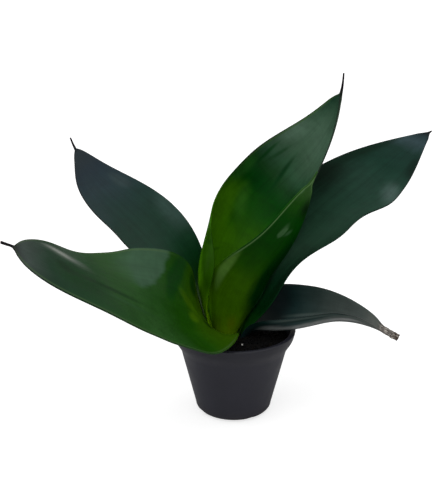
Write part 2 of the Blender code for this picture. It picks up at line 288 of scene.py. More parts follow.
SLOT_LEVEL = 0.3            # share of the corner's height
SLOT_TILT = 135.0


def outer_radius(height):
    """The straight taper, flared softly at the lip."""
    rise = min(max((height - LIP_FOOT) / (LIP_FULL - LIP_FOOT), 0.0), 1.0)
    return LINE_RADIUS + TAPER * height + LIP_FLARE * rise * rise * (3 - 2 * rise)


def inner_radius(height):
    """The wall's thickness inside, then the thicker lip."""
    mouth = MOUTH_RADIUS - TAPER * (POT_HEIGHT - height) * (height > LIP_FOOT)
    return min(outer_radius(height) - WALL, mouth)


def corner_arc(inset, floor, steps=10):
    """The rounded bottom corner from the wall down to the flat."""
    top = LINE_RADIUS + TAPER * CORNER_HEIGHT - inset
    flat = FLAT_RADIUS - INSIDE_FLAT * inset
    drop = CORNER_HEIGHT - floor
    angles = [radians(CORNER_SWEEP * (1 - step / steps)) for step in range(steps + 1)]
    return [(flat + (top - flat) * sin(a), CORNER_HEIGHT - drop * cos(a)) for a in angles]

# %% Pot shape
def cut_slots(pot):
    """Cuts the drain slots through the bottom corner, square to its slope, and applies the cuts."""
    cutters = []
    for number in range(SLOT_COUNT):
        angle = radians(SLOT_FIRST_ANGLE + number * 360.0 / SLOT_COUNT)
        bm = bmesh.new()
        bmesh.ops.create_cone(bm, cap_ends=True, segments=32, radius1=SLOT_RADIUS, radius2=SLOT_RADIUS,
                              depth=2 * SLOT_REACH)
        bmesh.ops.scale(bm, vec=(1.0, SLOT_STRETCH, 1.0), verts=bm.verts)
        middle = FLAT_RADIUS + SLOT_PLACE * (outer_radius(CORNER_HEIGHT) - FLAT_RADIUS)
        place = (Matrix.Rotation(angle, 4, "Z")
                 @ Matrix.Translation((middle, 0.0, SLOT_LEVEL * CORNER_HEIGHT))
                 @ Matrix.Rotation(radians(SLOT_TILT), 4, "Y"))
        bmesh.ops.transform(bm, matrix=place, verts=bm.verts)
        bmesh.ops.scale(bm, vec=(MM, MM, MM), verts=bm.verts)
        mesh = bpy.data.meshes.new("slot_cutter")
        bm.to_mesh(mesh)
        bm.free()
        cutter = bpy.data.objects.new("slot_cutter", mesh)
        bpy.context.collection.objects.link(cutter)
        cutters.append(cutter)
        cut = pot.modifiers.new("slot", "BOOLEAN")
        cut.operation = "DIFFERENCE"
        cut.solver = "EXACT"
        cut.object = cutter
    evaluated = pot.evaluated_get(bpy.context.evaluated_depsgraph_get())
    pot.data = bpy.data.meshes.new_from_object(evaluated)
    pot.modifiers.clear()
    for cutter in cutters:
        bpy.data.objects.remove(cutter, do_unlink=True)


def make_pot(finish):
    wall_heights = [CORNER_HEIGHT, *WALL_RINGS, *np.linspace(LIP_FOOT, LIP_FULL, LIP_RINGS)]
    wall_heights += [LIP_FULL + 2.0, POT_HEIGHT - 1.0]
    inside = [(0.0, FLOOR)] + corner_arc(WALL, FLOOR)[::-1]
    inside += [(inner_radius(z), z) for z in wall_heights]
    edge = outer_radius(POT_HEIGHT) - LIP_INSET
    lip_middle = (MOUTH_RADIUS + edge) / 2
    half_lip = (edge - MOUTH_RADIUS) / 2
    lip = [(lip_middle - half_lip * cos(a), POT_HEIGHT - LIP_EDGE + LIP_EDGE * sin(a))
           for a in np.radians([15, 35, 55, 75, 90, 105, 125, 145, 165])]
    outside = [(outer_radius(z), z) for z in wall_heights[::-1]] + corner_arc(0.0, 0.0)
    under = [(FOOT_RADIUS + FOOT_RECESS, 0.0), (FOOT_RADIUS, FOOT_RECESS), (0.0, FOOT_RECESS)]
    bm = turn_profile(inside + lip + outside + under, POT_STEPS)
    pot = finish_piece("pot_shell", bm, finish, "pot")
    cut_slots(pot)

# %% [markdown]
# ## Moulded plastic
# Satin polypropylene is nearly black, and what the eye reads is its soft shine. The mould leaves a fine
# grain, the handling leaves faint scuffs that run round the pot, dry potting dust clings near the base,
# and painted shade makes the lip a little darker. The grain is a group of its own, because the soil and
# the rhizome use it too at other scales.

# %% Grain group and pot finish
PATCH_SCALE = 0.04          # the patches are 25 times as wide as the grains
PLASTIC_TONES = ((0.010, 0.010, 0.018), (0.018, 0.018, 0.030))
# painted shade for the lip
LIP_SHADE_TONE = (0.004, 0.004, 0.009)
SCUFF_TONE = (0.05, 0.05, 0.055)
DUST_TONE = (0.07, 0.06, 0.05)

net, given, made = new_group("fine_grain", {"Scale": 1000.0, "Contrast": 1.0}, ("Grain", "Patches"))
place = net.node("TexCoord").outputs["Object"]
grain = net.cloud(place, given["Scale"], detail=2.0)
patches = net.cloud(place, net.times(given["Scale"], PATCH_SCALE), detail=4.0)
centred = net.math("SUBTRACT", grain, 0.5)
scaled = net.times(centred, given["Contrast"])
net.feed(made["Grain"], net.math("ADD", scaled, 0.5))
net.feed(made["Patches"], patches)
fine_grain = net.tree


def pot_plastic():
    finish, net, shader = new_finish("pot_plastic", Specular_IOR_Level=0.45)
    place = net.node("TexCoord").outputs["Object"]
    height = net.node("SeparateXYZ", {0: place}).outputs["Z"]
    grain = net.use(fine_grain, {"Scale": 1600.0, "Contrast": 1.0})
    scuffs = net.cloud(net.stretch(place, (60.0, 60.0, 1400.0)), 1.0, detail=4.0, roughness=0.7)
    scuff_lines = net.fade(scuffs, 0.62, 0.74)
    dusty = net.times(net.fade(height, 0.001, 0.012, 1.0, 0.0), grain["Patches"])
    plain = net.blend(grain["Patches"], *PLASTIC_TONES)
    # painted shade: the plastic turns darker towards the top of the lip
    lip_shaded = net.blend(net.fade(height, 0.050, 0.060, 0.0, 0.5), plain, LIP_SHADE_TONE)
    scuffed = net.blend(net.times(scuff_lines, 0.25), lip_shaded, SCUFF_TONE)
    dusted = net.blend(net.times(dusty, 0.25), scuffed, DUST_TONE)
    net.feed(shader["Base Color"], dusted)
    rough = net.fade(grain["Patches"], 0.3, 0.7, 0.40, 0.50)
    net.feed(shader["Roughness"], net.math("ADD", rough, net.times(dusty, 0.3)))
    put_bump(net, shader, grain["Grain"], 0.35, 0.08)
    return finish


make_pot(pot_plastic())

# %% [markdown]
# ## The potting mix
# The mix is dark peat. A turned solid fills the pot, its top is pushed up and down by noise at two
# scales, and it dips where the leaves come out. Loose crumbs, fibres and white perlite grains lie on top.
# Each crumb starts as a 20-sided ball, because hundreds of them have to stay light. The random draws
# start from fixed seeds, so that every run gives the same soil.

# %% Soil sizes
GAP = 0.4                   # clearance to the pot
SOIL_TOP = 58.0
SOIL_EDGE_DROP = 0.8        # how much lower the soil is where it meets the pot
SOIL_STEPS = 144
SOIL_RINGS = 40
SIDE_TOP = 54.0             # height where the soil's side stops following the wall
CROWN = (-7.0, 6.0)         # where the rosette stands, off the pot's axis
CROWN_TOP = 54.0            # height where the leaves start
CROWN_RADIUS = 18.4         # the leaves' bases stand inside this circle
COARSE_LUMPS = (9.0, 0.8)   # width and height
FINE_LUMPS = (2.6, 0.5)
WELL_DEPTH = 3.2            # how far the surface dips under the leaves
WELL_RADIUS = CROWN_RADIUS - 2.0
WELL_SLOPE = 3.0            # width of the ring in which it dips
EDGE_RADIUS = 36.0          # where the surface starts to drop towards the pot
EDGE_SLOPE = 4.0            # width of the ring in which it drops
SPREAD = 39.0               # half the side of the square that the loose grains' places are drawn from
SPREAD_RADIUS = 39.3        # places outside this circle are drawn again
LUMP_ROUGHNESS = 0.22
CRUMB_COUNT = 750
CRUMB_SIZE = 1.5            # radius of the largest
FIBRE_COUNT = 60
FIBRE_LENGTHS = (2.5, 6.0)
FIBRE_RADII = (0.14, 0.24)  # at the thick end
FIBRE_SLANT = 9.0           # degrees from lying flat, at most
FIBRE_SPREAD = 0.93         # draws the fibres in, so that their ends stay off the pot
GRAIN_RADII = (0.6, 0.95)
GRAIN_PLACES = [(5.6, -18.7), (-4.5, -34.5), (12.0, 34.0), (-33.0, 12.0), (30.0, 19.0), (-28.0, -20.0),
                (-18.0, 33.0)]


def soil_level(x, y):
    """Height of the soil's surface at a place in the pot."""
    level = SOIL_TOP
    for (width, height), seed in ((COARSE_LUMPS, 0.3), (FINE_LUMPS, 4.1)):
        level += height * noise.noise(Vector((x / width, y / width, seed)))
    from_crown = Vector((x - CROWN[0], y - CROWN[1])).length
    well = min(max((WELL_RADIUS - from_crown) / WELL_SLOPE, 0.0), 1.0)
    edge = min(max((Vector((x, y)).length - EDGE_RADIUS) / EDGE_SLOPE, 0.0), 1.0)
    return level - WELL_DEPTH * well - SOIL_EDGE_DROP * edge

# %% Soil shape
def make_soil(finish):
    rim = inner_radius(SOIL_TOP - SOIL_EDGE_DROP) - GAP
    side = corner_arc(WALL + GAP, FLOOR + GAP)[::-1]
    side += [(inner_radius(z) - GAP, z) for z in (CORNER_HEIGHT, LIP_FOOT, SIDE_TOP)]
    top = [(rim * (1 - ring / SOIL_RINGS), SOIL_TOP) for ring in range(SOIL_RINGS + 1)]
    bm = turn_profile([(0.0, FLOOR + GAP)] + side + top, SOIL_STEPS)
    for vert in bm.verts:
        if vert.co.z > SOIL_TOP - 0.1:
            vert.co.z = soil_level(vert.co.x, vert.co.y)
    finish_piece("soil_body", bm, finish, "soil", sharp_angle=180.0)


def spot_on_soil(draw, keep_off):
    """A random place on the soil, clear of the leaves' bases and of the pot's wall."""
    while True:
        x = draw.uniform(-SPREAD, SPREAD)
        y = draw.uniform(-SPREAD, SPREAD)
        from_crown = Vector((x - CROWN[0], y - CROWN[1])).length
        if Vector((x, y)).length < SPREAD_RADIUS and from_crown > keep_off:
            return x, y


def add_lump(bm, draw, x, y, radius, squash, subdivisions=1):
    """One irregular ball, pressed a little into the soil."""
    ball = bmesh.ops.create_icosphere(bm, subdivisions=subdivisions, radius=radius)["verts"]
    for vert in ball:
        vert.co *= 1.0 + draw.uniform(-LUMP_ROUGHNESS, LUMP_ROUGHNESS)
    turn = Euler([draw.uniform(0, 2 * pi) for _ in range(3)]).to_matrix().to_4x4()
    sizes = Matrix.Diagonal((draw.uniform(0.7, 1.3), draw.uniform(0.7, 1.3), squash, 1.0))
    place = Matrix.Translation((x, y, soil_level(x, y) + 0.35 * radius))
    bmesh.ops.transform(bm, matrix=place @ sizes @ turn, verts=ball)


def make_crumbs(finish):
    draw = random.Random(11)
    bm = bmesh.new()
    for _ in range(CRUMB_COUNT):
        x, y = spot_on_soil(draw, CROWN_RADIUS - 0.6)
        add_lump(bm, draw, x, y, draw.uniform(0.35, 1.0) ** 1.5 * CRUMB_SIZE, draw.uniform(0.5, 0.9))
    finish_piece("soil_crumbs", bm, finish)


def make_fibres(finish):
    draw = random.Random(23)
    bm = bmesh.new()
    for _ in range(FIBRE_COUNT):
        x, y = spot_on_soil(draw, CROWN_RADIUS + 1.0)
        length = draw.uniform(*FIBRE_LENGTHS)
        stick = bmesh.ops.create_cone(bm, cap_ends=True, segments=6, radius1=draw.uniform(*FIBRE_RADII),
                                      radius2=0.07, depth=length)["verts"]
        slant = 90.0 + draw.uniform(-FIBRE_SLANT, FIBRE_SLANT)
        turn = Euler((radians(slant), 0.0, draw.uniform(0, 2 * pi))).to_matrix().to_4x4()
        x, y = x * FIBRE_SPREAD, y * FIBRE_SPREAD
        place = Matrix.Translation((x, y, soil_level(x, y) + 0.5))
        bmesh.ops.transform(bm, matrix=place @ turn, verts=stick)
    finish_piece("soil_fibres", bm, finish)


def make_perlite(finish):
    draw = random.Random(5)
    bm = bmesh.new()
    for x, y in GRAIN_PLACES:
        add_lump(bm, draw, x, y, draw.uniform(*GRAIN_RADII), draw.uniform(0.7, 1.0), subdivisions=2)
    finish_piece("perlite_grains", bm, finish)

# %% [markdown]
# ## Soil finishes
# Damp peat is almost black, with brown where it has dried. Noise at two scales mixes the tones, and a
# strong bump gives the crumbly look between the modelled lumps. Perlite is chalk white and full of pores,
# and the fibres are bits of brown bark.

# %% Soil finishes
def peat(name, dark, dry, depth_mm):
    finish, net, shader = new_finish(name, Specular_IOR_Level=0.12)
    grain = net.use(fine_grain, {"Scale": 900.0, "Contrast": 1.6})
    place = net.node("TexCoord").outputs["Object"]
    crumbs = net.node("TexVoronoi", {"Vector": place, "Scale": 620.0}).outputs["Distance"]
    dryness = net.fade(net.cloud(place, 170.0, detail=5.0, roughness=0.7), 0.45, 0.72)
    toned = net.blend(dryness, dark, dry)
    net.feed(shader["Base Color"], net.blend(0.8, toned, grain["Grain"], "MULTIPLY"))
    net.feed(shader["Roughness"], net.fade(grain["Grain"], 0.2, 0.8, 0.75, 0.98))
    height = net.math("MULTIPLY_ADD", crumbs, 0.6, net.times(grain["Grain"], 0.4))
    put_bump(net, shader, height, 0.8, depth_mm)
    return finish


def chalky_perlite():
    finish, net, shader = new_finish("perlite", Specular_IOR_Level=0.2)
    grain = net.use(fine_grain, {"Scale": 2500.0, "Contrast": 1.3})
    net.feed(shader["Base Color"], net.blend(grain["Grain"], (0.45, 0.44, 0.41), (0.85, 0.84, 0.80)))
    net.feed(shader["Roughness"], net.fade(grain["Grain"], 0.2, 0.8, 0.8, 1.0))
    put_bump(net, shader, grain["Grain"], 0.6, 0.15)
    return finish


damp_peat = peat("damp_peat", (0.003, 0.003, 0.0035), (0.010, 0.008, 0.006), 0.7)
make_soil(damp_peat)
make_crumbs(damp_peat)
make_fibres(peat("bark_fibre", (0.014, 0.009, 0.006), (0.034, 0.022, 0.014), 0.1))
make_perlite(chalky_perlite())

# %% [markdown]
# ## The rhizome
# The leaves grow from a short thick stem that stays under the soil. Only a little of its top can be seen,
# deep between the bases of the leaves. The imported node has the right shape, so it stays and only gets a
# finish: pale tan with fine rings of fibre.

# %% Rhizome finish
def rhizome_skin():
    finish, net, shader = new_finish("rhizome_skin", Specular_IOR_Level=0.35)
    grain = net.use(fine_grain, {"Scale": 1200.0, "Contrast": 1.4})
    place = net.node("TexCoord").outputs["Object"]
    rings = net.cloud(net.stretch(place, (120.0, 120.0, 900.0)), 1.0, detail=4.0)
    toned = net.blend(rings, (0.20, 0.12, 0.05), (0.42, 0.29, 0.14))
    net.feed(shader["Base Color"], net.blend(0.4, toned, grain["Grain"], "MULTIPLY"))
    net.feed(shader["Roughness"], net.fade(rings, 0.3, 0.7, 0.55, 0.8))
    put_bump(net, shader, rings, 0.5, 0.3)
    return finish


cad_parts["rhizome"].data.materials.clear()
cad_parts["rhizome"].data.materials.append(rhizome_skin())

# %% [markdown]
# ## How a leaf is shaped
# Each leaf follows one recipe. A midrib climbs from the crown, aimed by its rise and turn, and the blade
# rolls about it. The two halves of the blade bend up from the midrib, so that the leaf is cupped like a
# gutter, and their width grows from the clasping base to the belly and narrows to a stiff spike. The
# packed leaves follow the same rule with fewer points.
#
# The lists are degrees from base to tip, and lengths are in millimetres. A leaf stands on a ring round
# the crown, and its base is an arc of that ring. Widest and blade end are shares of the length. Neck and
# shoulder are powers: above 1 they make the outline more hollow below and above the belly, and under 1
# fuller. A curl bends a half further towards its margin. A lobe widens or narrows one half: which half,
# by how much, where, and how far along. Awn flesh makes the spike thicker, and a dried tip starts where
# the recipe says dried.

# %% Leaf recipes
LEAVES = {
    # The tallest leaf: it rises behind the middle, leans right, and shows its inner face to the viewer.
    "leaf_tall_centre": {
        "ring": 10.2, "length": 230.0, "width": 79.0, "widest": 0.24, "blade_end": 0.93,
        "neck": 1.5, "shoulder": 0.5,
        "rise": (88, 78, 59, 40, 51, 89), "turn": (95, 92, 64, 25, -7, -29),
        "roll": (0, 12, 45, 60, 46, 32),
        "left_cup": (100, 88, 95, 80, 68, 52, 27), "right_cup": (100, 86, 78, 54, 35),
        "left_curl": (0, 14, 50, -10, 0, 0, 0),
        "lobes": (("left", 14.5, 0.19, 0.09), ("left", -1.6, 0.78, 0.18)),
        "awn_flesh": 0.9,
    },
    # The young leaf in the middle: still folded, it shows its outer face to the viewer.
    "leaf_young_front": {
        "ring": 7.0, "length": 148.0, "width": 46.0, "widest": 0.29, "blade_end": 0.93,
        "neck": 2.0, "shoulder": 0.7,
        "rise": (88, 83, 66, 50, 62, 63), "turn": (-80, -51, -24, -12, -4, 5),
        "roll": (0, -44, -64, -54, -50, -53),
        "left_cup": (110, 64, 40, 21, -2), "right_cup": (110, 52, 20, -3, -2),
    },
    # The leaf that leans back and left.
    "leaf_back_left": {
        "ring": 16.6, "length": 182.0, "width": 71.0, "widest": 0.51, "blade_end": 0.95,
        "neck": 1.8, "shoulder": 0.6,
        "rise": (88, 70, 59, 44, 41, 73), "turn": (150, 163, 164, 164, 163, 170),
        "roll": (0, 0, -8, -14, -10, -6),
        "left_cup": (58, 36, 22, 14, 0), "right_cup": (58, 39, 36, 16, 1),
        "lobes": (("right", 2.5, 0.70, 0.18), ("left", -2.5, 0.58, 0.08), ("left", -5.4, 0.91, 0.07)),
    },
    # The broad leaf that reaches low to the left, towards the viewer, and turns on its edge.
    "leaf_front_left": {
        "ring": 13.4, "length": 207.0, "width": 89.0, "widest": 0.4, "blade_end": 0.96,
        "neck": 1.2, "shoulder": 0.6,
        "rise": (88, 43, 28, 32, 31, 27), "turn": (240, 247, 234, 223, 211, 204),
        "roll": (0, -32, -47, -32, -16, -31),
        "left_cup": (66, 55, 32, -5, -6), "right_cup": (66, 38, 44, -7, -6),
        "lobes": (("right", -1.6, 0.55, 0.05), ("right", -3.2, 0.91, 0.13), ("left", -1.0, 0.53, 0.05)),
    },
    # The long leaf that leans back and right.
    "leaf_back_right": {
        "ring": 13.4, "length": 239.0, "width": 80.0, "widest": 0.48, "blade_end": 0.99,
        "neck": 0.9, "shoulder": 1.0,
        "rise": (88, 57, 49, 33, 25, 21), "turn": (30, 27, 23, 29, 38, 30),
        "roll": (0, 12, 7, 13, 15, 14),
        "left_cup": (58, 50, 38, 14, -2), "right_cup": (58, 32, 42, 14, -2),
        "lobes": (("right", 7.4, 0.38, 0.07), ("right", -6.7, 0.53, 0.08), ("right", 3.2, 0.59, 0.06)),
    },
    # The short leaf that arches low to the right, with a rolled front edge and a dried tip.
    "leaf_low_right": {
        "ring": 16.6, "length": 121.0, "width": 66.0, "widest": 0.25, "blade_end": 0.95,
        "neck": 1.5, "shoulder": 1.2,
        "rise": (88, 34, 10, 7, -8, -18), "turn": (8, -2, -9, -8, -21, -31),
        "roll": (0, 13, 23, 20, 7, 8),
        "left_cup": (52, 23, 12, 23, 45), "right_cup": (52, 48, 44, 43, 43, 46, 50, 53, -40),
        "right_curl": (0, 69, 90, 52, 17),
        "lobes": (("left", -1.6, 0.89, 0.05), ("left", 1.8, 1.0, 0.05), ("right", 3.6, 1.0, 0.08)),
        "dried": 0.88,
    },
}

# %% [markdown]
# ## The leaf rule
# The recipe's lists are read as smooth curves. They crowd towards the base, where a leaf bends most. The
# midrib is then followed in small steps, carrying the direction to the leaf's left and the one that its
# upper face looks to, and each half of the blade is followed outwards in the same way.

# %% Leaf rule
STATION_POWER = 1.5         # crowds a leaf's stations towards its base
SPINE_STEPS = 840
WING_STEPS = 400
AWN_FOOT = 0.03             # how far below the blade's end the awn starts, as a share of the length
AWN_HALF_WIDTH = 3.2
AWN_TAPER = 1.5             # above 1 draws the awn in quickly, with hollow shoulders
AWN_POINT = 0.4


def along(values, t):
    """Reads a list of values as a smooth curve, t from 0 at the leaf's base to 1 at its tip."""
    v = np.asarray(values, float)
    place = np.clip(t, 0.0, 1.0) ** (1.0 / STATION_POWER) * (len(v) - 1)
    low = np.minimum(place.astype(int), len(v) - 2)
    f = place - low
    ends = np.concatenate([[2 * v[0] - v[1]], v, [2 * v[-1] - v[-2]]])
    a, b, c, d = ends[low], ends[low + 1], ends[low + 2], ends[low + 3]
    return b + 0.5 * f * (c - a + f * (2 * a - 5 * b + 4 * c - d + f * (3 * (b - c) + d - a)))


def half_width(leaf, t):
    """Half the leaf's width: it grows from the clasping base to the belly, then narrows to the awn."""
    base = leaf["ring"] * radians(leaf["left_cup"][0])
    belly = leaf["width"] / 2.0
    rise = np.sin(0.5 * pi * np.clip(t / leaf["widest"], 0.0, 1.0)) ** leaf["neck"]
    past = np.clip((t - leaf["widest"]) / (leaf["blade_end"] - leaf["widest"]), 0.0, 1.0)
    fall = (1 - past ** 2) ** leaf["shoulder"]
    blade = np.where(t < leaf["widest"], base + (belly - base) * rise, belly * fall)
    awn_share = np.clip((1 - t) / (1 - leaf["blade_end"] + AWN_FOOT), 0.0, 1.0)
    awn = AWN_HALF_WIDTH * awn_share ** AWN_TAPER + AWN_POINT
    return np.where(t < leaf["widest"], blade, np.hypot(blade, awn))


def midrib(leaf, t):
    """Follows the midrib from the base: its points, its sideways and its upper-face directions at t."""
    fine = np.linspace(0.0, 1.0, SPINE_STEPS + 1)
    rise = np.radians(along(leaf["rise"], fine))
    turn = np.radians(along(leaf["turn"], fine))
    roll = np.radians(along(leaf["roll"], fine))
    ahead = np.stack([np.cos(rise) * np.cos(turn), np.cos(rise) * np.sin(turn), np.sin(rise)], axis=1)
    level = np.stack([-np.sin(turn), np.cos(turn), 0.0 * turn], axis=1)
    face = np.cross(ahead, level)
    side = level * np.cos(roll)[:, None] + face * np.sin(roll)[:, None]
    face = face * np.cos(roll)[:, None] - level * np.sin(roll)[:, None]
    start = radians(leaf["turn"][0])
    steps = (ahead[1:] + ahead[:-1]) / 2.0 * leaf["length"] / SPINE_STEPS
    points = np.vstack([np.zeros(3), np.cumsum(steps, axis=0)])
    points += (CROWN[0] + leaf["ring"] * cos(start), CROWN[1] + leaf["ring"] * sin(start), CROWN_TOP)
    index = np.rint(t * SPINE_STEPS).astype(int)
    return points[index], side[index], face[index]


def wing(leaf, hand, t):
    """One half of the blade, seen along the midrib: its width, and how far out and up its points stand."""
    cup = np.radians(along(leaf[hand + "_cup"], t))[:, None]
    curl = np.radians(along(leaf.get(hand + "_curl", (0, 0)), t))[:, None]
    reach = half_width(leaf, t)
    for lobe_hand, size, place, spread in leaf.get("lobes", ()):
        if lobe_hand == hand:
            reach = reach + size * np.exp(-((t - place) / spread) ** 2)
    share = (np.arange(WING_STEPS) + 0.5) / WING_STEPS
    bend = cup * share + curl * share ** 3
    step = (reach / WING_STEPS)[:, None]
    start = np.zeros((len(t), 1))
    out = np.hstack([start, np.cumsum(np.cos(bend) * step, axis=1)])
    up = np.hstack([start, np.cumsum(np.sin(bend) * step, axis=1)])
    return reach, out, up

# %% [markdown]
# ## From a grid to a leaf
# A flat grid has the right layout for a leaf: its rows become cross-sections and its columns run from
# base to tip. Its columns crowd at the two margins, where the blade is thin and catches the light. Every
# point is moved to its place on the leaf, and keeps two things for the finish to read: its place in the
# leaf as a UV, and its distance from the margin. Solidify then gives the blade its flesh, thick along the
# midrib and thin at the margins.

# %% Leaf shape
LEAF_ROWS = 141
HALF_COLUMNS = 20
RIB_THICKNESS = 2.4
TIP_THICKNESS = 1.2
MARGIN_THICKNESS = 0.9
THIN_POWER = 1.5            # a higher one keeps the blade thick further out
CRINKLE = 1.1               # how far a dried tip is pushed out of shape
CRINKLE_SIZE = 2.5
CRINKLE_SEED = 2            # without a seed, noise_vector differs from run to run

noise.seed_set(CRINKLE_SEED)


def leaf_points(leaf):
    """Rows of points from the right margin to the left one, and how far each lies from its margin."""
    t = np.linspace(0.0, 1.0, LEAF_ROWS)
    points, side, face = midrib(leaf, t)
    steps = np.rint(np.sin(0.5 * pi * np.arange(HALF_COLUMNS + 1) / HALF_COLUMNS) * WING_STEPS).astype(int)
    shares = np.concatenate([-steps[:0:-1], steps]) / WING_STEPS
    sheet = np.zeros((LEAF_ROWS, 2 * HALF_COLUMNS + 1, 3))
    margin = np.zeros(sheet.shape[:2])
    for hand, sign in (("left", 1), ("right", -1)):
        reach, out, up = wing(leaf, hand, t)
        for number, step in enumerate(steps):
            column = HALF_COLUMNS + sign * number
            across = sign * side * out[:, step, None]
            sheet[:, column] = points + across + face * up[:, step, None]
            margin[:, column] = reach * (1 - step / WING_STEPS)
    return t, shares, sheet, margin


def crinkle(place, t, dried):
    """Pushes a point of a dried tip out of shape, more towards the end."""
    share = min(max((t - dried) / (1 - dried), 0.0), 1.0)
    return noise.noise_vector(place / CRINKLE_SIZE) * (CRINKLE * share)


def awn_flesh(leaf, t):
    """Extra thickness in mm of a fleshy awn: it swells at the awn's foot and is drawn out to the point."""
    swell = min(max((t - leaf["blade_end"]) / AWN_FOOT + 1.0, 0.0), 1.0)
    drawn_out = min((1 - t) / (1 - leaf["blade_end"]), 1.0)
    return leaf.get("awn_flesh", 0.0) * swell * drawn_out


def make_leaf(node, leaf, finish):
    t, shares, sheet, margin = leaf_points(leaf)
    bm = bmesh.new()
    uv = bm.loops.layers.uv.new("leaf")
    edge = bm.verts.layers.float.new("margin_mm")
    bmesh.ops.create_grid(bm, x_segments=2 * HALF_COLUMNS, y_segments=LEAF_ROWS - 1, size=1.0)
    flesh = []
    spots = []
    for vert in bm.verts:
        row = round((vert.co.y + 1) / 2 * (LEAF_ROWS - 1))
        column = round((vert.co.x + 1) * HALF_COLUMNS)
        vert.co = Vector(sheet[row, column])
        vert[edge] = margin[row, column]
        if "dried" in leaf:
            vert.co += crinkle(vert.co, float(t[row]), leaf["dried"])
        rib = RIB_THICKNESS + (TIP_THICKNESS - RIB_THICKNESS) * t[row]
        full = 1 - abs(shares[column]) ** THIN_POWER
        thickness = MARGIN_THICKNESS + (rib - MARGIN_THICKNESS) * full + awn_flesh(leaf, float(t[row]))
        flesh.append(thickness / RIB_THICKNESS)
        spots.append(((shares[column] + 1) / 2, t[row]))
    bm.verts.index_update()
    for face in bm.faces:
        for loop in face.loops:
            loop[uv].uv = spots[loop.vert.index]
    piece = finish_piece(node.replace("leaf_", "") + "_blade", bm, finish, node, sharp_angle=180.0)
    group = piece.vertex_groups.new(name="flesh")
    for index, weight in enumerate(flesh):
        group.add([index], weight, "REPLACE")
    solid = piece.modifiers.new("flesh", "SOLIDIFY")
    solid.thickness = RIB_THICKNESS * MM
    solid.offset = 0.0
    solid.vertex_group = "flesh"
    solid.thickness_vertex_group = 0.0

# %% [markdown]
# ## The pattern of a leaf's skin
# All six leaves share the same pattern, so it is one group that reads the leaf's own UV. Faint darker
# bands run across the leaf, and broad ribs and fine veins run along it. The margin is a thin hard line,
# and inside it runs a lighter rim, a pale margin line that is partly painted highlight, which starts at
# its own place on each half. The spike at the tip is dry and dark, and the oldest leaf has dried back from
# its tip to a pale husk with brown spots and pale flakes, partly painted highlight. A place of 2.0 lies
# beyond the tip, and leaves out the spike or the dried end. The group gives masks and shades, and each
# leaf brings its tones.

# %% Leaf pattern group
net, given, made = new_group("leaf_pattern", {
    "Band Depth": 0.08, "Vein Depth": 0.25, "Rib Depth": 0.12, "Right Rim": 0.4, "Left Rim": 0.4,
    "Edge Depth": 0.7, "Awn Place": 0.95, "Dried Place": 2.0,
}, ("Place", "Shade", "Rim", "Hard Edge", "Spike", "Dry", "Rot", "Flakes And Highlights", "Roughness", "Height"))

uv = net.node("UVMap", uv_map="leaf").outputs[0]
split = net.node("SeparateXYZ", {0: uv}).outputs
body = net.node("TexCoord").outputs["Object"]
wander = net.math("SUBTRACT", net.cloud(net.stretch(uv, (4.0, 5.0, 1.0)), 1.0), 0.5)
place = net.math("MULTIPLY_ADD", wander, 0.08, split["Y"])
net.feed(made["Place"], place)

band_noise = net.cloud(net.stretch(uv, (2.4, 24.0, 1.0)), 1.0, 3.0, 0.6, 0.8)
bands = net.times(net.fade(band_noise, 0.40, 0.66), given["Band Depth"])
rib_noise = net.cloud(net.stretch(uv, (13.0, 1.2, 1.0)), 1.0, 2.0)
vein_noise = net.cloud(net.stretch(uv, (46.0, 2.2, 1.0)), 1.0, 4.0, 0.6)
fine_veins = net.cloud(net.stretch(uv, (150.0, 5.0, 1.0)), 1.0, 2.0, 0.5)
mottle = net.cloud(body, 120.0, 4.0, 0.6)
cells = net.cloud(body, 2200.0, 2.0, 0.5)
shade = net.math("SUBTRACT", net.fade(mottle, 0.25, 0.75, 0.92, 1.08), bands)
for lines, depth in ((rib_noise, "Rib Depth"), (vein_noise, "Vein Depth")):
    shift = net.times(net.math("SUBTRACT", lines, 0.5), given[depth])
    shade = net.times(shade, net.math("MULTIPLY_ADD", shift, 2.0, 1.0))
net.feed(made["Shade"], shade)

edge = net.node("Attribute", attribute_name="margin_mm").outputs["Fac"]
# the rim: a pale margin line, partly painted highlight
rim_line = net.times(net.fade(edge, 0.3, 0.9), net.fade(edge, 1.3, 2.4, 1.0, 0.0))
left_half = net.math("GREATER_THAN", split["X"], 0.5)
right_rim = net.fade(net.math("SUBTRACT", split["Y"], given["Right Rim"]), 0.0, 0.12)
left_rim = net.fade(net.math("SUBTRACT", split["Y"], given["Left Rim"]), 0.0, 0.12)
side_rim = net.node("Mix", {0: left_half, 2: right_rim, 3: left_rim}).outputs[0]
net.feed(made["Rim"], net.times(rim_line, side_rim))
hardened = net.times(net.fade(split["Y"], 0.25, 0.6), given["Edge Depth"])
net.feed(made["Hard Edge"], net.times(net.fade(edge, 0.1, 0.6, 1.0, 0.0), hardened))
awn_start = net.math("SUBTRACT", given["Awn Place"], 0.02)
awn_end = net.math("ADD", given["Awn Place"], 0.025)
spike = net.fade(split["Y"], awn_start, awn_end)
net.feed(made["Spike"], spike)
dry_end = net.math("ADD", given["Dried Place"], 0.05)
dry = net.fade(place, given["Dried Place"], dry_end)
net.feed(made["Dry"], dry)
husk_grain = net.cloud(net.stretch(uv, (9.0, 60.0, 1.0)), 1.0, 4.0, 0.7)
# pale flakes on the dried husk, partly painted highlight
flake_and_highlight_grain = net.cloud(net.stretch(uv, (16.0, 40.0, 1.0)), 1.0, 3.0, 0.6, 1.0)
blunt_end = net.fade(split["Y"], 0.945, 0.975)
rot = net.math("MAXIMUM", net.fade(husk_grain, 0.42, 0.52, 1.0, 0.0), blunt_end)
net.feed(made["Rot"], rot)
net.feed(made["Flakes And Highlights"], net.fade(flake_and_highlight_grain, 0.55, 0.61))

